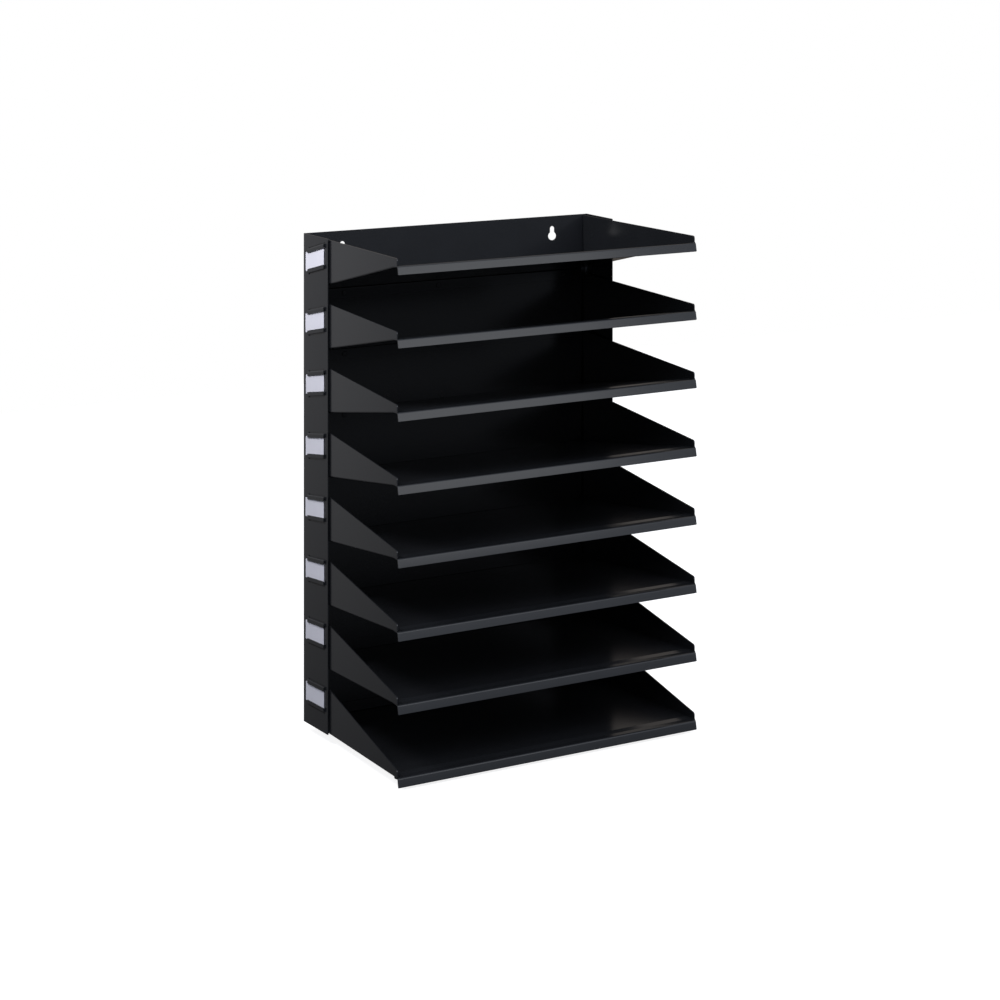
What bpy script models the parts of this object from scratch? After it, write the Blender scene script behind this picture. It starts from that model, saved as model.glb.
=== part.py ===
"""Desktop file sorter: a folded steel carcass with eight fixed trays and eight sliding label cards.

Frame: +Z up, the open front faces -Y, the origin is on the desk below the middle of the object.
"""

import math

import bmesh
import bpy
from mathutils import Matrix, Vector

# ---------------------------------------------------------------- driving dimensions (metres)
SHEET = 0.0010  # steel sheet thickness
GAP = 0.0003  # clearance between pieces that touch

TRAY_COUNT = 8
PITCH = 0.0620  # floor to floor
TRAY_WIDTH = 0.3020  # over the two wings, at the rear
TRAY_TAPER = 0.0105  # each wing stands this much further in at the front
TRAY_DEPTH = 0.2800  # back panel to the front of the lip's bend
LIP_DROP = 0.0082  # top of the floor to the bottom of the front lip
LIP_LEAN = math.radians(15)  # the lip's lower edge stands forward of its bend
FLANGE_DROP = 0.0115  # top of the floor to the end of the rear flange
FLANGE_INSET = 0.0035  # ends of the rear flange, from the side of the tray
WING_HEAD = 0.0060  # wing's rear top below the floor of the tray above
WING_FRONT = 0.0060  # wing height at its front edge
WING_CHAMFER = 0.0022  # clipped top corner of the wing's front edge
WING_SETBACK = 0.0026  # front edge of the wing behind the front of the lip's bend
BEND = 0.0020  # outer radius of a bend

SIDE_GAP = 0.0030  # between a wing and the side strip beside it, at the back panel
STRIP_GAP = 0.0008  # the same at the front edge of the strip
BACK_MARGIN = 0.0012  # back panel above the rear of the highest wings
STRIP_MARGIN = 0.0085  # side strip in front of the label holders

KEYHOLE_INSET = 0.0402  # from the side of the carcass
KEYHOLE_DROP = 0.0212  # top of the back to the middle of the round hole
KEYHOLE_RADIUS = 0.0046
KEYHOLE_SLOT = 0.0050  # width of the narrow part
KEYHOLE_RISE = 0.0079  # middle of the round hole to the middle of the slot's end

RIVET_LEFT = 0.0380  # outer rivets, from the sides of the tray
RIVET_RIGHT = 0.0240
RIVET_MIDDLE = -0.0130  # the rivet between them, from the middle of the tray
RIVET_DROP = 0.0066  # from the top of the floor
RIVET_SHANK = 0.0015  # radius
RIVET_HEAD = 0.0026  # radius
RIVET_HEAD_HEIGHT = 0.0010
RIVET_HOLE = 0.0018  # radius

LABEL_HEAD = 0.0243  # middle of the lowest label below the rear top of its tray's wings
LABEL_CLOSING = 0.0006  # labels are this much closer to each other than trays
LABEL_WINDOW = 0.0160  # the visible height between the two lips
LABEL_LENGTH = 0.0580
LABEL_THICKNESS = 0.0004
LABEL_INSET = 0.0095  # rear end of a label in front of the back panel
LABEL_SHIFTS = (0.0, 0.0004, -0.0005, 0.0003, 0.0006, -0.0003, 0.0002, -0.0006)

HOLDER_REAR = 0.0080  # rear end of a lip in front of the rear end of its label
HOLDER_FRONT = 0.0020  # front end of a lip in front of the front end of its label
HOLDER_LIP = 0.0028  # visible height of one lip
HOLDER_COVER = 0.0014  # how far a lip covers the edge of the card
HOLDER_SLOT = 0.0010  # depth of the slot that the card slides in
HOLDER_WALL = 0.0006  # thickness of the part that covers the card

FOOT_RADIUS = 0.0085
FOOT_CLEAR = 0.0028  # lip of the lowest tray above the desk
FOOT_SIDE_INSET = 0.0280  # from the side of the tray
FOOT_REAR_INSET = 0.0350  # from the back panel
FOOT_FRONT_INSET = 0.0400  # from the front of the lip's bend

# ---------------------------------------------------------------- derived dimensions
LIP_LENGTH = (LIP_DROP - BEND + (BEND - SHEET) * math.sin(LIP_LEAN)) / math.cos(LIP_LEAN)
LIP_REACH = LIP_LENGTH * math.sin(LIP_LEAN) - BEND * (1 - math.cos(LIP_LEAN))  # in front of the bend
BACK_FACE = (TRAY_DEPTH + LIP_REACH - SHEET) / 2  # front of the back panel; the depth is centred on Y = 0
WING_REAR = PITCH - WING_HEAD  # wing height at the back panel
LEAN_IN = TRAY_TAPER / TRAY_DEPTH  # wings run inwards by this much for each metre forwards
WING_SLOPE = (WING_REAR - WING_FRONT) / TRAY_DEPTH
CARCASS_WIDTH = TRAY_WIDTH + 2 * (SIDE_GAP + SHEET)
CARCASS_HEIGHT = (TRAY_COUNT - 1) * PITCH + WING_REAR + BACK_MARGIN  # above the lowest floor
OUTER_X = CARCASS_WIDTH / 2
LABEL_RISE = WING_REAR - LABEL_HEAD  # middle of the lowest label above its tray's floor
LABEL_PITCH = PITCH - LABEL_CLOSING  # label to label
HOLDER_LENGTH = LABEL_LENGTH - HOLDER_REAR + HOLDER_FRONT
HOLDER_MIDDLE = LABEL_INSET + HOLDER_REAR + HOLDER_LENGTH / 2  # in front of the back panel
LABEL_MIDDLE = LABEL_INSET + LABEL_LENGTH / 2
STRIP_DEPTH = LABEL_INSET + LABEL_LENGTH + HOLDER_FRONT + STRIP_MARGIN  # from the back panel
STRIP_LEAN_IN = LEAN_IN + (SIDE_GAP - STRIP_GAP) / STRIP_DEPTH  # the same for the side strips
KEYHOLE_X = OUTER_X - KEYHOLE_INSET
RIVET_X = (RIVET_LEFT - TRAY_WIDTH / 2, RIVET_MIDDLE, TRAY_WIDTH / 2 - RIVET_RIGHT)
FOOT_HEIGHT = LIP_DROP - SHEET + FOOT_CLEAR
FOOT_X = TRAY_WIDTH / 2 - FOOT_SIDE_INSET
FOOT_Y = (FOOT_REAR_INSET, TRAY_DEPTH - FOOT_FRONT_INSET)  # in front of the back panel
FLOOR_1 = FOOT_HEIGHT + SHEET  # top of the lowest floor
BACK_TOP = FLOOR_1 + CARCASS_HEIGHT


def floor_height(number):
    """Top of the floor of tray 1 (the highest) to TRAY_COUNT (the lowest)."""
    return FLOOR_1 + (TRAY_COUNT - number) * PITCH


def label_height(number):
    """Middle of the label that belongs to this tray."""
    return FLOOR_1 + LABEL_RISE + (TRAY_COUNT - number) * LABEL_PITCH


# ---------------------------------------------------------------- scene and helpers
for old in list(bpy.data.objects):
    bpy.data.objects.remove(old, do_unlink=True)

parts = bpy.data.collections.new("desktop_file_sorter")
cutters = bpy.data.collections.new("desktop_file_sorter_cutters")
bpy.context.scene.collection.children.link(parts)
bpy.context.scene.collection.children.link(cutters)


def material(name, color, roughness, metallic=0.0):
    made = bpy.data.materials.new(name)
    made.use_nodes = True
    shader = made.node_tree.nodes["Principled BSDF"]
    shader.inputs["Base Color"].default_value = (*color, 1.0)
    shader.inputs["Roughness"].default_value = roughness
    shader.inputs["Metallic"].default_value = metallic
    made.diffuse_color = (*color, 1.0)
    return made


def add(name, mesh, collection, surface=None):
    made = bpy.data.objects.new(name, mesh)
    collection.objects.link(made)
    if surface is not None:
        mesh.materials.append(surface)
    if collection is cutters:
        made.hide_render = True
        made.display_type = "WIRE"
    return made


def outline_mesh(name, points, thickness, place):
    """The flat outline, thickness deep about its plane, moved by the matrix place."""
    curve = bpy.data.curves.new(name + "_outline", "CURVE")
    curve.dimensions = "2D"
    curve.fill_mode = "BOTH"
    curve.extrude = thickness / 2
    spline = curve.splines.new("POLY")
    spline.points.add(len(points) - 1)
    for point, (u, v) in zip(spline.points, points):
        point.co = (u, v, 0.0, 1.0)
    spline.use_cyclic_u = True
    holder = bpy.data.objects.new(name + "_outline", curve)
    bpy.context.scene.collection.objects.link(holder)
    graph = bpy.context.evaluated_depsgraph_get()
    mesh = bpy.data.meshes.new_from_object(holder.evaluated_get(graph))
    bpy.data.objects.remove(holder, do_unlink=True)
    work = bmesh.new()
    work.from_mesh(mesh)
    bmesh.ops.remove_doubles(work, verts=work.verts, dist=1e-6)
    bmesh.ops.transform(work, matrix=place, verts=work.verts)
    bmesh.ops.recalc_face_normals(work, faces=work.faces)
    work.to_mesh(mesh)
    work.free()
    mesh.name = name
    return mesh


def side_plane(x):
    """Outline points are (Y, Z) and the thickness runs along X about x."""
    turned = Matrix(((0, 0, 1), (1, 0, 0), (0, 1, 0))).to_4x4()
    return Matrix.Translation((x, 0, 0)) @ turned


def front_plane(y):
    """Outline points are (X, Z) and the thickness runs along Y about y."""
    turned = Matrix(((1, 0, 0), (0, 0, 1), (0, 1, 0))).to_4x4()
    return Matrix.Translation((0, y, 0)) @ turned


def level_plane(z):
    """Outline points are (X, Y) and the thickness runs along Z about z."""
    return Matrix.Translation((0, 0, z))


def arc(centre, radius, start, end, steps=4):
    """Points of an arc between two angles in degrees, both ends included."""
    found = []
    for i in range(steps + 1):
        angle = math.radians(start + (end - start) * i / steps)
        found.append((centre[0] + radius * math.cos(angle), centre[1] + radius * math.sin(angle)))
    return found


def leant_in(mesh, lean):
    """Moves what is in front of the back panel inwards, by lean for each metre forwards."""
    for vert in mesh.vertices:
        ahead = max(0.0, BACK_FACE - vert.co.y)
        vert.co.x -= math.copysign(lean * ahead, vert.co.x)
    return mesh


def merged(name, meshes):
    """One mesh that holds several separate closed shapes."""
    work = bmesh.new()
    for mesh in meshes:
        work.from_mesh(mesh)
        bpy.data.meshes.remove(mesh)
    made = bpy.data.meshes.new(name)
    work.to_mesh(made)
    work.free()
    return made


def boolean(target, tool, operation):
    step = target.modifiers.new(tool.name, "BOOLEAN")
    step.object = tool
    step.operation = operation
    step.solver = "EXACT"


def rod(name, radius, depth, place, sides=12):
    """A cylinder along its own Z, depth long about the middle."""
    work = bmesh.new()
    bmesh.ops.create_cone(
        work, cap_ends=True, segments=sides, radius1=radius, radius2=radius, depth=depth, matrix=place
    )
    made = bpy.data.meshes.new(name)
    work.to_mesh(made)
    work.free()
    return made


def turned(name, profile, steps, surface):
    """A profile of (radius, height) points, top to bottom, turned about Z."""
    work = bmesh.new()
    points = [work.verts.new((radius, 0.0, height)) for radius, height in profile]
    for first, second in zip(points, points[1:]):
        work.edges.new((first, second))
    mesh = bpy.data.meshes.new(name)
    work.to_mesh(mesh)
    work.free()
    made = add(name, mesh, parts, surface)
    step = made.modifiers.new("turn", "SCREW")
    step.steps = steps
    step.render_steps = steps
    step.use_merge_vertices = True
    step.merge_threshold = 0.00001
    step.use_smooth_shade = False
    return made


ALONG_Y = Matrix.Rotation(math.radians(90), 4, "X")

# ---------------------------------------------------------------- materials
carcass_paint = material("carcass_black_paint", (0.020, 0.021, 0.024), 0.32)
tray_paint = material("tray_black_paint", (0.030, 0.031, 0.035), 0.32)
rivet_paint = material("rivet_black_paint", (0.030, 0.031, 0.035), 0.36)
label_paper = material("label_paper", (0.80, 0.79, 0.86), 0.85)
foot_rubber = material("foot_rubber", (0.015, 0.015, 0.016), 0.80)


# ---------------------------------------------------------------- carcass
def carcass_outline():
    """The folded sheet seen from above: a wide U, open to the front."""
    outer_back = BACK_FACE + SHEET
    front = BACK_FACE - STRIP_DEPTH
    inner = OUTER_X - SHEET
    small = BEND - SHEET
    points = [(-OUTER_X, front)]
    points += arc((-OUTER_X + BEND, outer_back - BEND), BEND, 180, 90)
    points += arc((OUTER_X - BEND, outer_back - BEND), BEND, 90, 0)
    points += [(OUTER_X, front), (inner, front)]
    points += arc((inner - small, BACK_FACE - small), small, 0, 90)
    points += arc((-inner + small, BACK_FACE - small), small, 90, 180)
    points += [(-inner, front)]
    return points


def holder_outline(side, height, upward):
    """Section of one raised lip, in (X, Z): a foot on the strip and a wall that covers the card."""
    card = LABEL_WINDOW / 2 + HOLDER_COVER  # half the height of the card
    edge = card + 0.0004
    top = LABEL_WINDOW / 2 + HOLDER_LIP + HOLDER_COVER
    wall = OUTER_X + HOLDER_SLOT
    face = wall + HOLDER_WALL
    sunk = OUTER_X - SHEET * 0.4
    points = [(sunk, edge), (sunk, top + 0.0008), (OUTER_X, top + 0.0008), (face, top)]
    points += [(face, LABEL_WINDOW / 2), (wall, LABEL_WINDOW / 2), (wall, edge)]
    return [(side * x, height + upward * z) for x, z in points]


def strip_slope_cut():
    """What lies above the sloping tops of the side strips, clear of the back panel."""
    rear = BACK_FACE - 0.0005
    front = BACK_FACE - STRIP_DEPTH - 0.01
    rear_z = BACK_TOP - WING_SLOPE * 0.0005
    front_z = BACK_TOP - WING_SLOPE * (STRIP_DEPTH + 0.01)
    points = [(rear, rear_z), (rear, BACK_TOP + 0.02), (front, BACK_TOP + 0.02), (front, front_z)]
    return outline_mesh("strip_slope_cut", points, CARCASS_WIDTH + 0.04, side_plane(0.0))


def keyhole(x):
    """The round entry hole with the narrow slot above it."""
    half = KEYHOLE_SLOT / 2
    middle = BACK_TOP - KEYHOLE_DROP
    join = math.degrees(math.asin(half / KEYHOLE_RADIUS))
    points = arc((x, middle), KEYHOLE_RADIUS, 90 + join, 450 - join, 20)
    points += arc((x, middle + KEYHOLE_RISE), half, 0, 180, 8)
    return outline_mesh("keyhole", points, 0.01, front_plane(BACK_FACE))


def rivet_height(number):
    """Where the rivets of this tray go through its rear flange."""
    return floor_height(number) + (RIVET_DROP - SHEET if number == TRAY_COUNT else -RIVET_DROP)


wall_height = CARCASS_HEIGHT + SHEET
mesh = outline_mesh("carcass", carcass_outline(), wall_height, level_plane(FOOT_HEIGHT + wall_height / 2))
carcass = add("carcass", leant_in(mesh, STRIP_LEAN_IN), parts, carcass_paint)

holders = []
for number in range(1, TRAY_COUNT + 1):
    for side in (-1, 1):
        for upward in (-1, 1):
            section = holder_outline(side, label_height(number), upward)
            place = front_plane(BACK_FACE - HOLDER_MIDDLE)
            lip = outline_mesh("holder", section, HOLDER_LENGTH, place)
            holders.append(leant_in(lip, STRIP_LEAN_IN))
holder_tool = add("holder_lips", merged("holder_lips", holders), cutters)
boolean(carcass, holder_tool, "UNION")

holes = [strip_slope_cut(), keyhole(-KEYHOLE_X), keyhole(KEYHOLE_X)]
for number in range(1, TRAY_COUNT + 1):
    for x in RIVET_X:
        place = Matrix.Translation((x, BACK_FACE, rivet_height(number))) @ ALONG_Y
        holes.append(rod("rivet_hole", RIVET_HOLE, 0.01, place))
hole_tool = add("carcass_holes", merged("carcass_holes", holes), cutters)
boolean(carcass, hole_tool, "DIFFERENCE")


# ---------------------------------------------------------------- trays
def pan_outline():
    """Side section of the floor with its front lip, in (Y, Z) from the floor's top."""
    front = -TRAY_DEPTH
    rear = -GAP - BEND
    small = BEND - SHEET
    end = 180 - math.degrees(LIP_LEAN)
    down = (-math.sin(LIP_LEAN), -math.cos(LIP_LEAN))
    points = arc((front + BEND, -BEND), BEND, 90, end)
    inner = arc((front + BEND, -BEND), small, end, 90)
    for y, z in (points[-1], inner[0]):
        points.append((y + LIP_LENGTH * down[0], z + LIP_LENGTH * down[1]))
    return points + inner + [(rear, -SHEET), (rear, 0.0)]


def flange_outline(lowest):
    """Side section of the rear flange, in (Y, Z) from the floor's top; the lowest tray's is turned up."""
    rear = -GAP
    root = rear - 2 * BEND
    small = BEND - SHEET
    if lowest:
        points = [(root, 0.0), (root, -SHEET)] + arc((rear - BEND, BEND - SHEET), BEND, 270, 360)
        points += [(rear, FLANGE_DROP - SHEET), (rear - SHEET, FLANGE_DROP - SHEET)]
        return points + arc((rear - BEND, BEND - SHEET), small, 360, 270)
    points = [(root, -SHEET)] + arc((rear - BEND, -BEND), small, 90, 0)
    points += [(rear - SHEET, -FLANGE_DROP), (rear, -FLANGE_DROP)]
    return points + arc((rear - BEND, -BEND), BEND, 0, 90) + [(root, 0.0)]


def wing_outline():
    """A triangular wing in (Y, Z) from the floor's top, with the front top corner clipped."""
    front = WING_SETBACK - TRAY_DEPTH
    rear = -GAP
    top = WING_REAR + WING_SLOPE * front
    shoulder = top + WING_SLOPE * WING_CHAMFER
    return [
        (front, -SHEET),
        (front, top - WING_CHAMFER),
        (front + WING_CHAMFER, shoulder),
        (rear, WING_REAR),
        (rear, -SHEET),
    ]


for number in range(1, TRAY_COUNT + 1):
    name = f"tray_{number}"
    height = floor_height(number)
    lowest = number == TRAY_COUNT
    inner = TRAY_WIDTH / 2 - SHEET / 2
    lift = Matrix.Translation((0, BACK_FACE, height))
    mesh = outline_mesh(name, pan_outline(), TRAY_WIDTH - SHEET, lift @ side_plane(0.0))
    tray = add(name, leant_in(mesh, LEAN_IN), parts, tray_paint)
    folds = [outline_mesh("wing", wing_outline(), SHEET, lift @ side_plane(side * inner)) for side in (-1, 1)]
    wing_pair = leant_in(merged(f"tray_{number}_wings", folds), LEAN_IN)
    fold_tool = add(f"tray_{number}_wings", wing_pair, cutters)
    boolean(tray, fold_tool, "UNION")
    flange_width = TRAY_WIDTH - 2 * FLANGE_INSET
    mesh = outline_mesh("flange", flange_outline(lowest), flange_width, lift @ side_plane(0.0))
    boolean(tray, add(f"tray_{number}_flange", mesh, cutters), "UNION")
    holes = []
    for x in RIVET_X:
        place = Matrix.Translation((x, BACK_FACE - GAP, rivet_height(number))) @ ALONG_Y
        holes.append(rod("flange_hole", RIVET_HOLE, 0.005, place))
    hole_tool = add(f"tray_{number}_holes", merged(f"tray_{number}_holes", holes), cutters)
    boolean(tray, hole_tool, "DIFFERENCE")


# ---------------------------------------------------------------- rivets
def rivet_profile():
    """Rear end on the rear face of the back panel, head in front of the tray's rear flange."""
    under = SHEET + GAP + SHEET + 0.0002
    crown = under + RIVET_HEAD_HEIGHT
    return [
        (0.0, crown),
        (RIVET_HEAD * 0.60, crown - RIVET_HEAD_HEIGHT * 0.18),
        (RIVET_HEAD, crown - RIVET_HEAD_HEIGHT * 0.70),
        (RIVET_HEAD, under),
        (RIVET_SHANK, under),
        (RIVET_SHANK, 0.0),
        (0.0, 0.0),
    ]


for number in range(1, TRAY_COUNT + 1):
    for place, x in zip(("left", "middle", "right"), RIVET_X):
        rivet = turned(f"rivet_{number}_{place}", rivet_profile(), 12, rivet_paint)
        rivet.location = (x, BACK_FACE + SHEET, rivet_height(number))
        rivet.rotation_euler = (math.radians(90), 0.0, 0.0)


# ---------------------------------------------------------------- label cards
for number, shift in zip(range(1, TRAY_COUNT + 1), LABEL_SHIFTS):
    size = Vector((LABEL_THICKNESS, LABEL_LENGTH, LABEL_WINDOW + 2 * HOLDER_COVER))
    work = bmesh.new()
    bmesh.ops.create_cube(work, size=1.0, matrix=Matrix.Diagonal((*size, 1.0)))
    mesh = bpy.data.meshes.new(f"label_{number}")
    work.to_mesh(mesh)
    work.free()
    mesh.transform(Matrix.Translation((
        -OUTER_X - HOLDER_SLOT / 2,
        BACK_FACE - LABEL_MIDDLE + shift,
        label_height(number),
    )))
    add(f"label_{number}", leant_in(mesh, STRIP_LEAN_IN), parts, label_paper)


# ---------------------------------------------------------------- feet
foot_profile = [
    (0.0, FOOT_HEIGHT - GAP),
    (FOOT_RADIUS * 0.88, FOOT_HEIGHT - GAP),
    (FOOT_RADIUS, 0.0008),
    (FOOT_RADIUS - 0.0008, 0.0),
    (0.0, 0.0),
]
for end, distance in zip(("rear", "front"), FOOT_Y):
    for side, x in (("left", -FOOT_X), ("right", FOOT_X)):
        foot = turned(f"foot_{end}_{side}", foot_profile, 24, foot_rubber)
        foot.location = (x, BACK_FACE - distance, 0.0)
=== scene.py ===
"""Looks of the desktop file sorter: enamelled sheet steel, card labels and rubber feet."""

import math

import bmesh
import bpy
from mathutils import Matrix, Vector


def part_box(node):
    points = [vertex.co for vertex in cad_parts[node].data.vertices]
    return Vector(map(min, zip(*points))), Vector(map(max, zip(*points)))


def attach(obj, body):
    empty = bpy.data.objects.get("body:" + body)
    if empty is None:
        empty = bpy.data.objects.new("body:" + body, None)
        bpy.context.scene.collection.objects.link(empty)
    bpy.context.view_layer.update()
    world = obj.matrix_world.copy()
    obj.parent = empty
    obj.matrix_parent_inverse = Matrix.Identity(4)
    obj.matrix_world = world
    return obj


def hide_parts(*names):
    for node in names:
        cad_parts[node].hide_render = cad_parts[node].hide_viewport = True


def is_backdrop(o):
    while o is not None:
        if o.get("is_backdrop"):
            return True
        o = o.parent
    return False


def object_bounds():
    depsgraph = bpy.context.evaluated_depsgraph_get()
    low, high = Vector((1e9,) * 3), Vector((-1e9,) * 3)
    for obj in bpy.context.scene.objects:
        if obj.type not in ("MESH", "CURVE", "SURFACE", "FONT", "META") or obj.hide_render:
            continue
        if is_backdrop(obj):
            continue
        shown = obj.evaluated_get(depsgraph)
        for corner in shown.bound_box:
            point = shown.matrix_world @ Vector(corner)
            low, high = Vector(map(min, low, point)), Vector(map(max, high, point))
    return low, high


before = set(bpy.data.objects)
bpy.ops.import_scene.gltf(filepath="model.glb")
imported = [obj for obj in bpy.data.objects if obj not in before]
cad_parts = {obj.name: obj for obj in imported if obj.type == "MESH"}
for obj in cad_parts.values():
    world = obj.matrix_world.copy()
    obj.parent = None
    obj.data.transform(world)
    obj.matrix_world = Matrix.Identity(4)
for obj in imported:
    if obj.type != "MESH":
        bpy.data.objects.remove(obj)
cad_low, cad_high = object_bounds()

# ---------------------------------------------------------------- sizes of the sheet work, in metres
SHEET = 0.0010  # steel thickness
BEND = 0.0020  # outer radius of a bend
GAP = 0.0003  # clearance between neighbours
LIP_DROP = 0.0082  # floor to the lowest point of a front lip
LIP_LEAN = math.radians(15)
FLANGE_DROP = 0.0115  # floor to the end of a rear flange
FLANGE_INSET = 0.0035  # ends of the rear flange, from the side of the tray
TRAY_TAPER = 0.0105  # each wing stands this much further in at the front
WING_FRONT = 0.0060  # wing height at its front end
WING_CORNER = 0.0022  # clipped top corner of a wing's front end
WING_SETBACK = 0.0026  # wing end behind the front bend
RELIEF = 0.0008  # slot between a wing's front end and the front bend
LIP_CORNER = 0.0006  # rounding of a front lip's lower corners
TRAY_EDGE = 0.00022  # rounding of the cut edges of a tray
KEYHOLE_INSET = 0.0402  # from the side of the carcass
KEYHOLE_DROP = 0.0212  # top of the back panel to the middle of the round hole
KEYHOLE_RADIUS = 0.0046
KEYHOLE_SLOT = 0.0050  # width of the narrow part
KEYHOLE_RISE = 0.0079  # middle of the round hole to the middle of the slot's end
STRIP_CORNER = 0.0008  # rounding of a side strip's front corners
CARCASS_EDGE = 0.00018  # rounding of the cut edges of the carcass
SIDE_GAP = 0.0030  # between a wing and the side strip, at the back panel
STRIP_GAP = 0.0008  # the same at the front edge of the strip
CARD_WINDOW = 0.0160  # height of a card between its two lips
CARD_COVER = 0.0014  # how far a holder lip covers the edge of the card
CARD_SLOT = 0.0010  # depth of the slot that the card slides in
CARD_STOCK = 0.0003  # thickness of a card
CARD_BOW = 0.0001  # how far a card bends in its slot
LIP_WALL = 0.0006  # part of a holder lip that covers the card
LIP_HEIGHT = 0.0028  # visible height of a holder lip
LIP_ROOT = 0.0006  # how far a holder lip reaches into the strip
GROOVE_DEPTH = 0.0007
GROOVE_WIDTH = 0.0012
RIVET_SHANK = 0.0015

TRAYS = range(1, 9)
BODY = "sorter"



def floor_top(number):
    """Height of a tray's floor: above its lip on the lowest tray, above its rear flange on the others."""
    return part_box(f"tray_{number}")[0].z + (LIP_DROP if number == 8 else FLANGE_DROP)


carcass_low, carcass_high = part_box("carcass")
tray_low, tray_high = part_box("tray_1")
card_low, card_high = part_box("label_1")
# from the floor to the lower edge of the lip's front face, and where floor and lip would meet unbent
lip_fall = LIP_DROP - SHEET * math.sin(LIP_LEAN)
lip_start = BEND * (1 - math.tan((math.pi / 2 - LIP_LEAN) / 2))
LIP_REACH = lip_fall * math.tan(LIP_LEAN) - lip_start
BACK_FACE = carcass_high.y - SHEET
BACK_TOP = carcass_high.z
HALF_TRAY = tray_high.x
TRAY_DEPTH = BACK_FACE - tray_low.y - LIP_REACH
LEAN_IN = TRAY_TAPER / TRAY_DEPTH
OUTER_X = HALF_TRAY + SIDE_GAP + SHEET
STRIP_DEPTH = BACK_FACE - carcass_low.y
STRIP_LEAN_IN = LEAN_IN + (SIDE_GAP - STRIP_GAP) / STRIP_DEPTH
WING_REAR = tray_high.z - floor_top(1)
WING_SLOPE = (WING_REAR - WING_FRONT) / TRAY_DEPTH
HOLDER_REAR = 0.0080  # rear end of a holder lip in front of the rear end of its card
HOLDER_FRONT = 0.0020  # front end of a holder lip in front of the front end of its card
HOLDER_LENGTH = card_high.y - card_low.y - HOLDER_REAR + HOLDER_FRONT
HOLDER_MIDDLE = (card_high.y + card_low.y - HOLDER_REAR - HOLDER_FRONT) / 2
HOLDER_TOP = CARD_WINDOW / 2 + LIP_HEIGHT + CARD_COVER  # outer edge of a lip, from the middle of its card




# ---------------------------------------------------------------- modelling helpers
def clear():
    if bpy.context.object and bpy.context.object.mode != "OBJECT":
        bpy.ops.object.mode_set(mode="OBJECT")
    bpy.ops.object.select_all(action="DESELECT")


def take(piece):
    """Makes the piece the only selected and the active one."""
    clear()
    piece.select_set(True)
    bpy.context.view_layer.objects.active = piece


def begin(name):
    """Names the new primitive, puts its place into its mesh and edits it with nothing selected."""
    piece = bpy.context.object
    piece.name = name
    piece.data.name = name
    bpy.ops.object.transform_apply(location=True, rotation=True, scale=True)
    bpy.ops.object.mode_set(mode="EDIT")
    bpy.ops.mesh.select_all(action="DESELECT")
    return piece


def end(piece):
    bpy.ops.object.mode_set(mode="OBJECT")
    clear()
    return piece


def pick(kind, test):
    """Selects the vertices, edges or faces of the edited mesh that pass the test, and nothing else."""
    bpy.ops.mesh.select_all(action="DESELECT")
    bpy.ops.mesh.select_mode(type={"verts": "VERT", "edges": "EDGE", "faces": "FACE"}[kind])
    shape = bmesh.from_edit_mesh(bpy.context.object.data)
    found = 0
    for item in getattr(shape, kind):
        if test(item):
            item.select_set(True)
            found += 1
    shape.select_flush_mode()
    bmesh.update_edit_mesh(bpy.context.object.data)
    return found


def near(a, b):
    return abs(a - b) < 1e-6


def middle(edge):
    return (edge.verts[0].co + edge.verts[1].co) / 2


def lies_at(edge, axis, value):
    """Whether both ends of the edge have this value on the axis."""
    return all(near(getattr(vert.co, axis), value) for vert in edge.verts)


def across_sheet(edge):
    """Whether the edge runs sideways, through the thickness of a card or a lip."""
    return abs(edge.verts[0].co.x - edge.verts[1].co.x) > 0.0001


def cut(point, normal, outer=False, fill=False):
    bpy.ops.mesh.select_all(action="SELECT")
    bpy.ops.mesh.bisect(plane_co=point, plane_no=normal, clear_outer=outer, use_fill=fill, threshold=1e-7)
    bpy.ops.mesh.select_all(action="DESELECT")


def extrude_edges(move):
    bpy.ops.mesh.extrude_region_move(TRANSFORM_OT_translate={"value": move})


def move_rows(move):
    """Moves each row of vertices with one y sideways, by what the function gives for that y and side."""
    shape = bmesh.from_edit_mesh(bpy.context.object.data)
    for row in sorted({round(vert.co.y, 6) for vert in shape.verts}):
        for side in (-1, 1):
            if pick("verts", lambda v: round(v.co.y, 6) == row and v.co.x * side > 0.0005):
                bpy.ops.transform.translate(value=(move(row, side), 0, 0))


def lean_in(lean, back):
    """Brings what is in front of the back panel inwards, by lean for each metre forwards."""
    move_rows(lambda row, side: -side * lean * max(0.0, back - row))


def apply(piece, kind, **settings):
    """Adds a modifier with these settings and applies it."""
    take(piece)
    step = piece.modifiers.new(kind.lower(), kind)
    for key, value in settings.items():
        setattr(step, key, value)
    bpy.ops.object.modifier_apply(modifier=step.name)
    clear()


def soften(piece, width, segments=2, angle=32):
    """Rounds the cut edges of a piece and evens its shading."""
    apply(
        piece, "BEVEL", width=width, segments=segments, limit_method="ANGLE", angle_limit=math.radians(angle),
        use_clamp_overlap=True, miter_outer="MITER_ARC",
    )
    smooth(piece)


def smooth(piece, angle=44):
    take(piece)
    bpy.ops.object.shade_smooth_by_angle(angle=math.radians(angle))
    clear()
    apply(piece, "WEIGHTED_NORMAL", weight=50, keep_sharp=True)


def carve(piece, tool, operation="DIFFERENCE"):
    apply(piece, "BOOLEAN", object=tool, operation=operation, solver="EXACT")
    bpy.data.objects.remove(tool, do_unlink=True)


def copy(piece, name, place=Matrix.Identity(4)):
    made = bpy.data.objects.new(name, piece.data.copy())
    made.data.name = name
    bpy.context.scene.collection.objects.link(made)
    made.data.transform(place)
    return made


def join(pieces):
    take(pieces[0])
    for piece in pieces[1:]:
        piece.select_set(True)
    bpy.ops.object.join()
    clear()
    return pieces[0]


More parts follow.
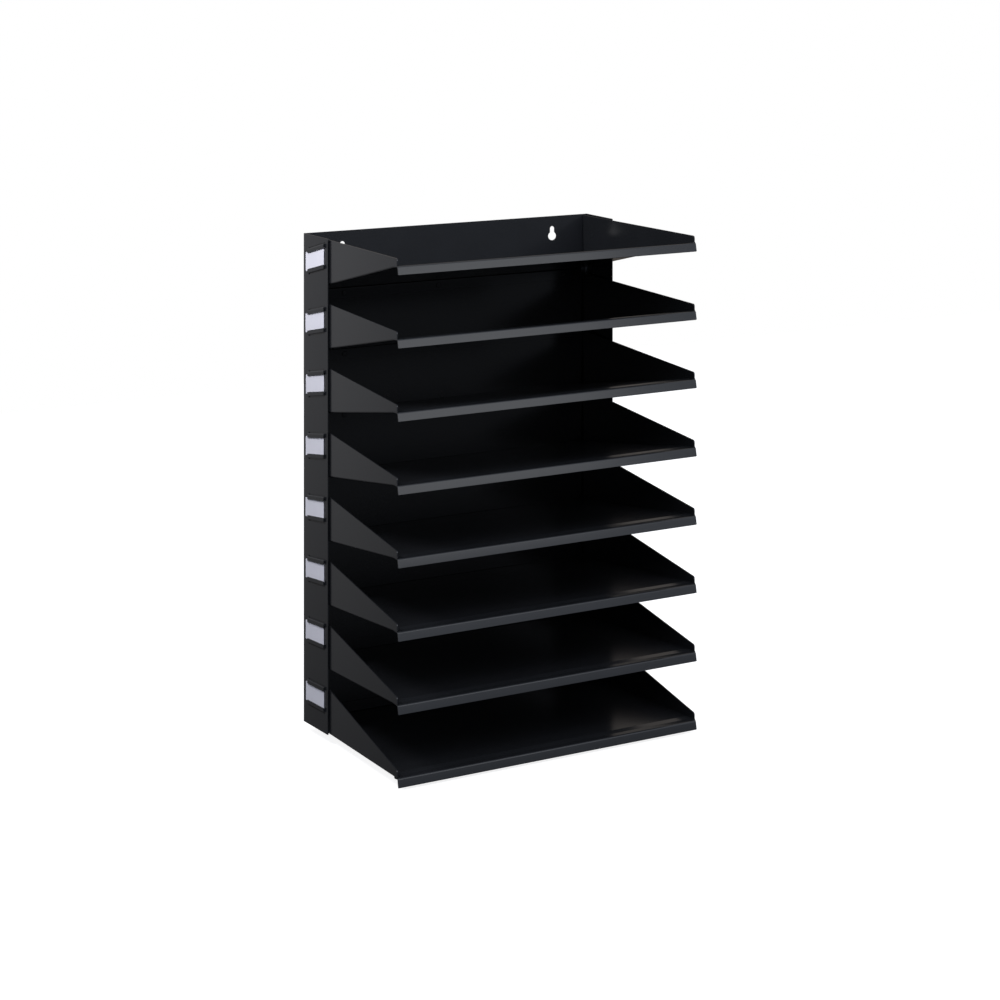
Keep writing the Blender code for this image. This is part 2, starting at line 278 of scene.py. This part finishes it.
def finish_piece(piece, surface, body, slot, *nodes):
    """Gives the piece its material and its body, and lets it stand for its CAD nodes."""
    piece.data.materials.clear()
    piece.data.materials.append(surface)
    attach(piece, body)
    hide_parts(*nodes)


# ---------------------------------------------------------------- material helpers
class Value:
    """A socket that carries a number and takes part in plain arithmetic."""

    def __init__(self, surface, socket):
        self.surface = surface
        self.socket = socket

    def _math(self, operation, first, second):
        return self.surface.node("ShaderNodeMath", {"operation": operation}, {0: first, 1: second}).value(0)

    def __add__(self, other):
        return self._math("ADD", self, other)

    def __radd__(self, other):
        return self._math("ADD", other, self)

    def __sub__(self, other):
        return self._math("SUBTRACT", self, other)

    def __rsub__(self, other):
        return self._math("SUBTRACT", other, self)

    def __mul__(self, other):
        return self._math("MULTIPLY", self, other)

    def __rmul__(self, other):
        return self._math("MULTIPLY", other, self)


class Made:
    """A node, with its outputs as values."""

    def __init__(self, surface, node):
        self.surface = surface
        self.node = node

    def value(self, key=0):
        return Value(self.surface, self.node.outputs[key])


class Nodes:
    """The nodes of one material or world, each made by one method."""

    def __init__(self, tree):
        self.tree = tree

    def node(self, kind, settings, inputs):
        made = self.tree.nodes.new(kind)
        for key, setting in settings.items():
            setattr(made, key, setting)
        for key, given in inputs.items():
            self.link(made.inputs[key], given)
        return Made(self, made)

    def link(self, socket, given):
        if isinstance(given, Value):
            self.tree.links.new(given.socket, socket)
        else:
            socket.default_value = given

    def ramp(self, factor, low, high):
        """0 below low, 1 above high, with a soft step between them."""
        settings = {"interpolation_type": "SMOOTHSTEP"}
        inputs = {"Value": factor, "From Min": low, "From Max": high, "To Min": 0.0, "To Max": 1.0}
        return self.node("ShaderNodeMapRange", settings, inputs).value("Result")

    def mix(self, factor, first, second):
        """A colour between two; a colour mix has its factor, colours and result at these places."""
        inputs = {0: factor, 6: first, 7: second}
        return self.node("ShaderNodeMix", {"data_type": "RGBA"}, inputs).value(2)


class Surface(Nodes):
    """One procedural material, read in object coordinates."""

    def __init__(self, name):
        self.material = bpy.data.materials.new(name)
        self.material.use_nodes = True
        super().__init__(self.material.node_tree)
        self.shader = self.tree.nodes["Principled BSDF"]
        self.place = self.node("ShaderNodeTexCoord", {}, {}).value("Object")

    def set(self, **inputs):
        for key, given in inputs.items():
            self.link(self.shader.inputs[key.replace("_", " ")], given)

    def noise(self, scale, detail=2.0, roughness=0.5, vector=None):
        inputs = {"Vector": vector or self.place, "Scale": scale, "Detail": detail, "Roughness": roughness}
        return self.node("ShaderNodeTexNoise", {}, inputs).value("Fac")

    def stretched(self, x, y, z):
        mapped = self.node("ShaderNodeMapping", {}, {"Vector": self.place, "Scale": (x, y, z)})
        return mapped.value("Vector")

    def facing_up(self):
        normal = self.node("ShaderNodeNewGeometry", {}, {}).value("Normal")
        return self.node("ShaderNodeSeparateXYZ", {}, {"Vector": normal}).value("Z")

    def bump(self, height, distance, strength=1.0, under=None):
        inputs = {"Height": height, "Distance": distance, "Strength": strength}
        if under is not None:
            inputs["Normal"] = under
        return self.node("ShaderNodeBump", {}, inputs).value("Normal")


def enamel(name, shade, roughness):
    """Baked black enamel on sheet steel: faint orange peel, slow waves, a trace of dust and handling."""
    made = Surface(name)
    waves = made.noise(7.0, 2.0, 0.45)
    peel = made.noise(900.0, 1.5, 0.5)
    patches = made.noise(26.0, 5.0, 0.6)
    specks = made.noise(2600.0, 1.0, 0.4)
    rubbed = made.ramp(made.noise(60.0, 6.0, 0.7, vector=made.stretched(1.0, 0.25, 1.0)), 0.56, 0.80)
    dust = made.ramp(made.facing_up(), 0.75, 0.98) * made.ramp(specks, 0.60, 0.78) * 0.04
    deep = (shade[0], shade[1], shade[2], 1.0)
    pale = (shade[0] * 1.35, shade[1] * 1.35, shade[2] * 1.40, 1.0)
    toned = made.mix(patches, deep, pale)
    grey_dust = (0.11, 0.11, 0.115, 1.0)
    made.set(
        Base_Color=made.mix(dust, toned, grey_dust),
        Roughness=roughness + (patches - 0.5) * 0.05 + rubbed * 0.02 + dust * 0.5,
        Normal=made.bump(peel, 0.00001, 0.06, under=made.bump(waves, 0.0004, 0.05)),
        IOR=1.50,
    )
    return made.material


def paper(name):
    """Plain white card stock: fine fibres, a soft surface and a slightly cloudy tone."""
    made = Surface(name)
    fibres = made.noise(1400.0, 4.0, 0.62, vector=made.stretched(1.0, 0.45, 1.0))
    cloud = made.noise(70.0, 3.0, 0.55)
    grain = made.noise(4200.0, 2.0, 0.5)
    toned = made.mix(cloud, (0.80, 0.79, 0.86, 1.0), (0.86, 0.85, 0.91, 1.0))
    made.set(
        Base_Color=made.mix(made.ramp(fibres, 0.60, 0.80) * 0.20, toned, (0.70, 0.69, 0.76, 1.0)),
        Roughness=0.78 + (fibres - 0.5) * 0.12,
        Normal=made.bump(fibres, 0.00003, 0.5, under=made.bump(grain, 0.00001, 0.4)),
        IOR=1.45,
    )
    return made.material


def rubber(name):
    """Moulded black rubber with a dry, slightly chalky skin."""
    made = Surface(name)
    skin = made.noise(1500.0, 3.0, 0.6)
    bloom = made.ramp(made.noise(160.0, 4.0, 0.6), 0.45, 0.75)
    made.set(
        Base_Color=made.mix(bloom, (0.013, 0.013, 0.014, 1.0), (0.026, 0.026, 0.027, 1.0)),
        Roughness=0.74 + bloom * 0.12,
        Normal=made.bump(skin, 0.00003, 0.6),
        IOR=1.45,
    )
    return made.material


carcass_enamel = enamel("carcass_enamel", (0.0100, 0.0108, 0.0124), 0.18)
# The trays' shade is lighter than the carcass's: painted light, standing in for the light and sheen that fall
# on the tray floors.
tray_enamel_painted_light = enamel("tray_enamel_painted_light", (0.0120, 0.0128, 0.0142), 0.18)
rivet_enamel = enamel("rivet_enamel", (0.0120, 0.0128, 0.0142), 0.22)
card_paper = paper("card_paper")
foot_rubber = rubber("foot_rubber_skin")


# ---------------------------------------------------------------- trays
def folded_tray(name, flange_up):
    """One blank folded into a floor, two sloping wings, a leaning front lip and a rear flange.

    It is modelled with the top of its floor at height 0 and the front of the back panel at y 0.
    """
    inner = HALF_TRAY - SHEET
    front = lip_start - TRAY_DEPTH
    rear = -GAP - (SHEET if flange_up else 0.0)
    root = -GAP - 2 * BEND
    wing_front = WING_SETBACK - TRAY_DEPTH
    wing_rear = -GAP - 0.0003
    flange_end = HALF_TRAY - FLANGE_INSET
    clear()
    bpy.ops.mesh.primitive_plane_add(size=1, location=(0, (front + rear) / 2, 0))
    bpy.context.object.scale = (2 * inner, rear - front, 1)
    tray = begin(name)
    for x in (-flange_end, flange_end):
        cut((x, 0, 0), (1, 0, 0))
    for y in (wing_front - RELIEF, wing_front, root):
        cut((0, y, 0), (0, 1, 0))

    def spare(face):
        """The relief slots in front of the wings and the corners beside the flange."""
        middle_of = face.calc_center_median()
        slot = wing_front - RELIEF < middle_of.y < wing_front
        return abs(middle_of.x) > flange_end and (slot or middle_of.y > root)

    pick("faces", spare)
    bpy.ops.mesh.delete(type="FACE")
    pick("verts", lambda v: v.co.y < wing_front - RELIEF / 2 and near(abs(v.co.x), inner))
    bpy.ops.transform.resize(value=(HALF_TRAY / inner, 1, 1), center_override=(0, 0, 0))
    pick("edges", lambda e: middle(e).y > wing_front and (
        lies_at(e, "x", -inner) or lies_at(e, "x", inner)))
    extrude_edges((0, 0, WING_FRONT + WING_SLOPE * WING_SETBACK))
    pick("verts", lambda v: v.co.z > 0.001 and near(v.co.y, root))
    bpy.ops.transform.translate(value=(0, wing_rear - root, WING_SLOPE * (wing_rear - wing_front)))
    pick("edges", lambda e: lies_at(e, "y", front))
    extrude_edges((0, -lip_fall * math.tan(LIP_LEAN), -lip_fall))
    pick("edges", lambda e: lies_at(e, "y", rear))
    extrude_edges((0, 0, FLANGE_DROP - SHEET if flange_up else -FLANGE_DROP))
    pick("edges", lambda e: near(middle(e).z, 0) and near(abs(middle(e).x), inner) and (
        middle(e).y > wing_front))
    bpy.ops.mesh.bevel(offset=BEND - SHEET, segments=5, profile=0.5, affect="EDGES")
    pick("edges", lambda e: lies_at(e, "y", front) and near(middle(e).z, 0))
    bpy.ops.mesh.bevel(offset=BEND - lip_start, segments=6, profile=0.5, affect="EDGES")
    pick("edges", lambda e: lies_at(e, "y", rear) and near(middle(e).z, 0))
    bpy.ops.mesh.bevel(offset=BEND - SHEET if flange_up else BEND, segments=6, profile=0.5, affect="EDGES")
    pick("verts", lambda v: near(v.co.y, wing_front) and v.co.z > WING_FRONT * 0.8)
    bpy.ops.mesh.bevel(offset=WING_CORNER, segments=5, profile=0.5, affect="VERTICES")
    pick("verts", lambda v: v.co.z < 0.0001 - lip_fall and near(abs(v.co.x), HALF_TRAY))
    bpy.ops.mesh.bevel(offset=LIP_CORNER, segments=4, profile=0.5, affect="VERTICES")
    lean_in(LEAN_IN, 0.0)
    bpy.ops.mesh.select_all(action="SELECT")
    bpy.ops.mesh.normals_make_consistent(inside=False)
    end(tray)
    floor = max(tray.data.polygons, key=lambda p: p.area)
    if floor.normal.z < 0:
        tray.data.flip_normals()
    apply(tray, "SOLIDIFY", thickness=SHEET, offset=-1, use_even_offset=True, use_quality_normals=True)
    soften(tray, TRAY_EDGE)
    return tray


tray_pattern = folded_tray("tray_pattern", False)
lowest_pattern = folded_tray("lowest_tray_pattern", True)
for number in TRAYS:
    pattern = lowest_pattern if number == 8 else tray_pattern
    place = Matrix.Translation((0, BACK_FACE, floor_top(number)))
    tray = copy(pattern, f"folded_tray_{number}", place)
    finish_piece(tray, tray_enamel_painted_light, BODY, "tray_paint", f"tray_{number}")
for pattern in (tray_pattern, lowest_pattern):
    bpy.data.objects.remove(pattern, do_unlink=True)


# ---------------------------------------------------------------- carcass with its keyholes and card holders
def keyhole_tool(x, z):
    """A round entry hole with a narrow slot above it, as one cutter."""
    clear()
    across = (math.pi / 2, 0, 0)
    bpy.ops.mesh.primitive_cylinder_add(
        vertices=48, radius=KEYHOLE_RADIUS, depth=0.01, location=(x, BACK_FACE, z), rotation=across)
    entry = end(begin("keyhole_entry"))
    top = z + KEYHOLE_RISE
    bpy.ops.mesh.primitive_cylinder_add(
        vertices=32, radius=KEYHOLE_SLOT / 2, depth=0.01, location=(x, BACK_FACE, top), rotation=across)
    slot = begin("keyhole_slot")
    pick("verts", lambda v: v.co.z < top - 0.00001)
    bpy.ops.transform.translate(value=(0, 0, -KEYHOLE_RISE))
    end(slot)
    carve(entry, slot, "UNION")
    return entry


def folded_carcass():
    """The back panel with two side strips bent forwards, their tops sloping like the wings."""
    rear = BACK_FACE + SHEET
    height = BACK_TOP - carcass_low.z
    clear()
    bpy.ops.mesh.primitive_plane_add(
        size=1, location=(0, rear, carcass_low.z + height / 2), rotation=(math.pi / 2, 0, 0))
    bpy.context.object.scale = (2 * OUTER_X, height, 1)
    carcass = begin("folded_carcass")
    pick("edges", lambda e: near(abs(middle(e).x), OUTER_X))
    extrude_edges((0, -STRIP_DEPTH - SHEET, 0))
    pick("edges", lambda e: lies_at(e, "y", rear) and near(abs(middle(e).x), OUTER_X))
    bpy.ops.mesh.bevel(offset=BEND, segments=8, profile=0.5, affect="EDGES")
    cut((0, BACK_FACE, BACK_TOP), (0, -WING_SLOPE, 1), outer=True)
    pick("verts", lambda v: near(v.co.y, BACK_FACE - STRIP_DEPTH))
    bpy.ops.mesh.bevel(offset=STRIP_CORNER, segments=4, profile=0.5, affect="VERTICES")
    lean_in(STRIP_LEAN_IN, BACK_FACE)
    end(carcass)
    back = max(carcass.data.polygons, key=lambda p: p.area)
    if back.normal.y < 0:
        carcass.data.flip_normals()
    apply(carcass, "SOLIDIFY", thickness=SHEET, offset=-1, use_even_offset=True, use_quality_normals=True)
    return carcass


def holder_lip():
    """One raised lip over a card whose middle is at height 0: a foot, and a wall over the card."""
    edge = CARD_WINDOW / 2 + CARD_COVER + 0.0004
    wall = OUTER_X + CARD_SLOT
    face = wall + LIP_WALL
    centre = ((LIP_ROOT - OUTER_X - wall) / 2, HOLDER_MIDDLE, (edge + HOLDER_TOP) / 2)
    clear()
    bpy.ops.mesh.primitive_cube_add(size=1, location=centre)
    bpy.context.object.scale = (CARD_SLOT + LIP_ROOT, HOLDER_LENGTH, HOLDER_TOP - edge)
    lip = begin("holder_lip_pattern")
    pick("faces", lambda f: f.normal.x < -0.9)
    bpy.ops.mesh.extrude_region_move(TRANSFORM_OT_translate={"value": (-LIP_WALL, 0, 0)})
    pick("faces", lambda f: f.normal.z < -0.9 and f.calc_center_median().x < -wall)
    bpy.ops.mesh.extrude_region_move(TRANSFORM_OT_translate={"value": (0, 0, CARD_WINDOW / 2 - edge)})
    pick("edges", lambda e: lies_at(e, "x", -face) and lies_at(e, "z", HOLDER_TOP))
    bpy.ops.mesh.bevel(offset=0.0009, segments=4, profile=0.5, affect="EDGES")
    pick("edges", lambda e: across_sheet(e) and lies_at(e, "z", CARD_WINDOW / 2))
    bpy.ops.mesh.bevel(offset=0.0007, segments=3, profile=0.5, affect="EDGES")
    end(lip)
    apply(lip, "BEVEL", width=0.00012, segments=2, limit_method="ANGLE", angle_limit=math.radians(40))
    return lip


def holder_groove():
    """The shallow groove that is left beside a raised lip, as a cutter with round ends."""
    clear()
    bpy.ops.mesh.primitive_cube_add(size=1, location=(-OUTER_X, HOLDER_MIDDLE, HOLDER_TOP + 0.0007))
    bpy.context.object.scale = (2 * GROOVE_DEPTH, HOLDER_LENGTH + 0.0016, GROOVE_WIDTH)
    groove = begin("holder_groove_pattern")
    pick("edges", lambda e: near(e.verts[0].co.y, e.verts[1].co.y) and near(e.verts[0].co.z, e.verts[1].co.z))
    bpy.ops.mesh.bevel(offset=0.00055, segments=4, profile=0.5, affect="EDGES")
    return end(groove)


def round_all_holders(pattern, name):
    """Copies what is modelled for one edge of one left-hand holder to both edges of all sixteen."""
    about_middle = Matrix.Translation((0, HOLDER_MIDDLE, 0))
    made = []
    for number in TRAYS:
        low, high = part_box(f"label_{number}")
        raised = Matrix.Translation((0, 0, (low.z + high.z) / 2))
        for side in (0, 1):
            for under in (0, 1):
                turn = Matrix.Rotation(math.pi * side, 4, "Z") @ Matrix.Rotation(math.pi * under, 4, "X")
                made.append(copy(pattern, name, raised @ about_middle @ turn @ about_middle.inverted()))
    bpy.data.objects.remove(pattern, do_unlink=True)
    together = join(made)
    take(together)
    bpy.ops.object.mode_set(mode="EDIT")
    lean_in(STRIP_LEAN_IN, BACK_FACE)
    return end(together)


carcass = folded_carcass()
tools = [keyhole_tool(side * (OUTER_X - KEYHOLE_INSET), BACK_TOP - KEYHOLE_DROP) for side in (-1, 1)]
tools.append(round_all_holders(holder_groove(), "holder_groove"))
carve(carcass, join(tools))
soften(carcass, CARCASS_EDGE)
carve(carcass, round_all_holders(holder_lip(), "holder_lip"), "UNION")
smooth(carcass)
finish_piece(carcass, carcass_enamel, BODY, "carcass_paint", "carcass")


# ---------------------------------------------------------------- rivets
def set_rivet(name):
    """A low domed head in front of the flange, with its shank and a flush end in the back panel."""
    low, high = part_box("rivet_1_middle")
    head = (high.x - low.x) / 2
    crown = high.y - low.y
    under = 2 * SHEET + GAP
    clear()
    bpy.ops.mesh.primitive_cylinder_add(
        vertices=32, radius=head, depth=crown - under, location=(0, 0, (crown + under) / 2))
    rivet = begin(name)
    pick("edges", lambda e: lies_at(e, "z", crown))
    bpy.ops.mesh.bevel(offset=0.0008, segments=5, profile=0.62, affect="EDGES")
    pick("faces", lambda f: f.normal.z > 0.99)
    bpy.ops.mesh.inset(thickness=0.0007)
    bpy.ops.transform.translate(value=(0, 0, -0.00018))
    pick("faces", lambda f: f.normal.z < -0.99)
    bpy.ops.mesh.inset(thickness=head - RIVET_SHANK)
    bpy.ops.mesh.extrude_region_move(TRANSFORM_OT_translate={"value": (0, 0, -under)})
    end(rivet)
    smooth(rivet, 50)
    rivet.data.transform(Matrix.Rotation(math.pi / 2, 4, "X"))
    return rivet


rivet_pattern = set_rivet("rivet_pattern")
for number in TRAYS:
    for where in ("left", "middle", "right"):
        low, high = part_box(f"rivet_{number}_{where}")
        place = Matrix.Translation(((low.x + high.x) / 2, BACK_FACE + SHEET, (low.z + high.z) / 2))
        rivet = copy(rivet_pattern, f"set_rivet_{number}_{where}", place)
        finish_piece(rivet, rivet_enamel, BODY, "rivet_paint", f"rivet_{number}_{where}")
bpy.data.objects.remove(rivet_pattern, do_unlink=True)


# ---------------------------------------------------------------- label cards
def card(number):
    """A cut card with small round corners and a slight bow of its own between the lips."""
    low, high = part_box(f"label_{number}")
    length = high.y - low.y
    centre = Vector((-OUTER_X - CARD_SLOT / 2, (low.y + high.y) / 2, (low.z + high.z) / 2))
    clear()
    bpy.ops.mesh.primitive_cube_add(size=1, location=centre)
    bpy.context.object.scale = (CARD_STOCK, length, high.z - low.z)
    made = begin(f"card_stock_{number}")
    pick("edges", across_sheet)
    bpy.ops.mesh.bevel(offset=0.0008, segments=4, profile=0.5, affect="EDGES")
    rows = 12
    for row in range(1, rows):
        cut((0, low.y + length * row / rows, 0), (0, 1, 0))
    move_rows(lambda row, side: CARD_BOW * math.sin(3.1 * (row - centre.y) / length + number * 1.7))
    lean_in(STRIP_LEAN_IN, BACK_FACE)
    end(made)
    soften(made, 0.00004, 1)
    return made


for number in TRAYS:
    finish_piece(card(number), card_paper, f"card_{number}", "label_paper", f"label_{number}")


# ---------------------------------------------------------------- feet
def foot(name, node):
    """A moulded round foot with a soft lower rim and a shallow dish underneath."""
    low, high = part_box(node)
    radius = (high.x - low.x) / 2
    centre = (low + high) / 2
    clear()
    bpy.ops.mesh.primitive_cylinder_add(vertices=48, radius=radius, depth=high.z - low.z, location=centre)
    made = begin(name)
    pick("verts", lambda v: v.co.z > centre.z)
    bpy.ops.transform.resize(value=(0.88, 0.88, 1), center_override=(centre.x, centre.y, high.z))
    pick("faces", lambda f: f.normal.z < -0.9)
    bpy.ops.mesh.inset(thickness=radius * 0.45)
    bpy.ops.transform.translate(value=(0, 0, 0.0008))
    pick("edges", lambda e: lies_at(e, "z", low.z) and (middle(e) - centre).xy.length > radius * 0.9)
    bpy.ops.mesh.bevel(offset=0.0012, segments=5, profile=0.5, affect="EDGES")
    end(made)
    soften(made, 0.0004, 3, 40)
    return made


for node in ("foot_rear_left", "foot_rear_right", "foot_front_left", "foot_front_right"):
    finish_piece(foot(f"moulded_{node}", node), foot_rubber, BODY, "foot_rubber", node)


# ---------------------------------------------------------------- studio
def studio_floor():
    clear()
    bpy.ops.mesh.primitive_plane_add(size=60, location=(0, 0, cad_low.z))
    floor = bpy.context.object
    floor.name = "studio_floor"
    made = Surface("studio_floor_white")
    made.set(Base_Color=(0.50, 0.50, 0.50, 1.0), Roughness=0.9)
    made.set(Emission_Color=(1.0, 1.0, 1.0, 1.0), Emission_Strength=0.86)
    floor.data.materials.append(made.material)
    floor.visible_glossy = False
    floor.visible_diffuse = False
    floor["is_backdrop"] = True
    clear()


def softbox(name, place, aim, width, height, power, color=(1.0, 1.0, 1.0), mirrored=True):
    """A soft panel of light, pointed at aim; one that isn't mirrored doesn't show in the paint."""
    light = bpy.data.lights.new(name, "AREA")
    light.shape = "RECTANGLE"
    light.size = width
    light.size_y = height
    light.energy = power
    light.color = color
    lamp = bpy.data.objects.new(name, light)
    bpy.context.scene.collection.objects.link(lamp)
    lamp.location = place
    lamp.rotation_euler = (Vector(aim) - Vector(place)).to_track_quat("-Z", "Y").to_euler()
    lamp.visible_camera = False
    lamp.visible_glossy = mirrored


def studio_sky():
    """White to the camera; to the paint a dim room, lighter above and behind than low down and in front."""
    world = bpy.data.worlds.new("studio")
    bpy.context.scene.world = world
    world.use_nodes = True
    made = Nodes(world.node_tree)
    made.tree.nodes.clear()
    around = made.node("ShaderNodeTexCoord", {}, {}).value("Generated")
    parts = made.node("ShaderNodeSeparateXYZ", {}, {"Vector": around})
    x, y, z = parts.value("X"), parts.value("Y"), parts.value("Z")
    low = made.ramp(z, -0.36, 0.10) * 0.26
    high = made.ramp(z, 0.10, 0.70) * 0.30
    behind = made.ramp(y, -0.25, 0.55)
    right = made.ramp(x, -0.05, 0.30)
    left = made.ramp(x, -0.42, -0.33)
    rear = (0.18 + left * 0.82) * behind * 0.68
    front = made.ramp(z, 0.18, 0.32) * (1 - behind) * 0.60
    bright = 0.125 - behind * 0.08 + front + (low + high) * (0.10 + rear) * (1 - right * behind * 0.45)
    cool = made.mix(behind, (0.90, 0.97, 1.10, 1.0), (1.0, 1.0, 1.03, 1.0))
    warm = made.mix(right * behind, cool, (1.0, 0.90, 0.82, 1.0))
    room = made.node("ShaderNodeBackground", {}, {"Color": warm, "Strength": bright})
    white = made.node("ShaderNodeBackground", {}, {"Color": (1.0, 1.0, 1.0, 1.0), "Strength": 1.0})
    seen = made.node("ShaderNodeLightPath", {}, {}).value("Is Camera Ray")
    blend = made.node("ShaderNodeMixShader", {}, {0: seen, 1: room.value(0), 2: white.value(0)})
    made.node("ShaderNodeOutputWorld", {}, {"Surface": blend.value(0)})


def camera():
    """A level camera to the left of the front, on a mount that makes its picture rise to the right."""
    turn = 0.356286  # radians to the right of straight ahead
    rise = 0.099325  # height gained to the right, for each metre across the picture
    data = bpy.data.cameras.new("camera")
    data.sensor_width = 36.0
    data.lens = 36.0 * 1.579437
    data.shift_y = -0.154119
    data.clip_start = 0.05
    data.clip_end = 60.0
    made = bpy.data.objects.new("camera", data)
    mount = bpy.data.objects.new("camera_mount", None)
    bpy.context.scene.collection.objects.link(made)
    bpy.context.scene.collection.objects.link(mount)
    made.location = (-0.526063, BACK_FACE - 1.562832, floor_top(8) + 0.357843)
    made.rotation_euler = (math.pi / 2, 0, -turn)
    stand = Matrix.Translation(made.location) @ made.rotation_euler.to_matrix().to_4x4()
    slant = Matrix.Identity(4)
    slant[1][0] = -rise
    made.parent = mount
    made.matrix_parent_inverse = stand @ slant @ stand.inverted()
    bpy.context.scene.camera = made


studio_floor()
studio_sky()
softbox("front_panel", (0.38, -1.95, 1.42), (0.0, -0.10, 0.28), 1.20, 0.88, 4.3)
softbox(
    "front_fill", (-0.10, -1.20, 0.95), (0.0, 0.0, 0.25), 0.8, 0.8, 6.0,
    color=(0.96, 0.98, 1.04), mirrored=False,
)
softbox(
    "label_fill", (-0.56, 0.02, 0.80), (-0.15, 0.08, 0.34), 0.22, 0.22, 2.6,
    color=(1.0, 1.0, 1.04), mirrored=False,
)
camera()
bpy.context.scene.view_settings.view_transform = "Standard"

low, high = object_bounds()
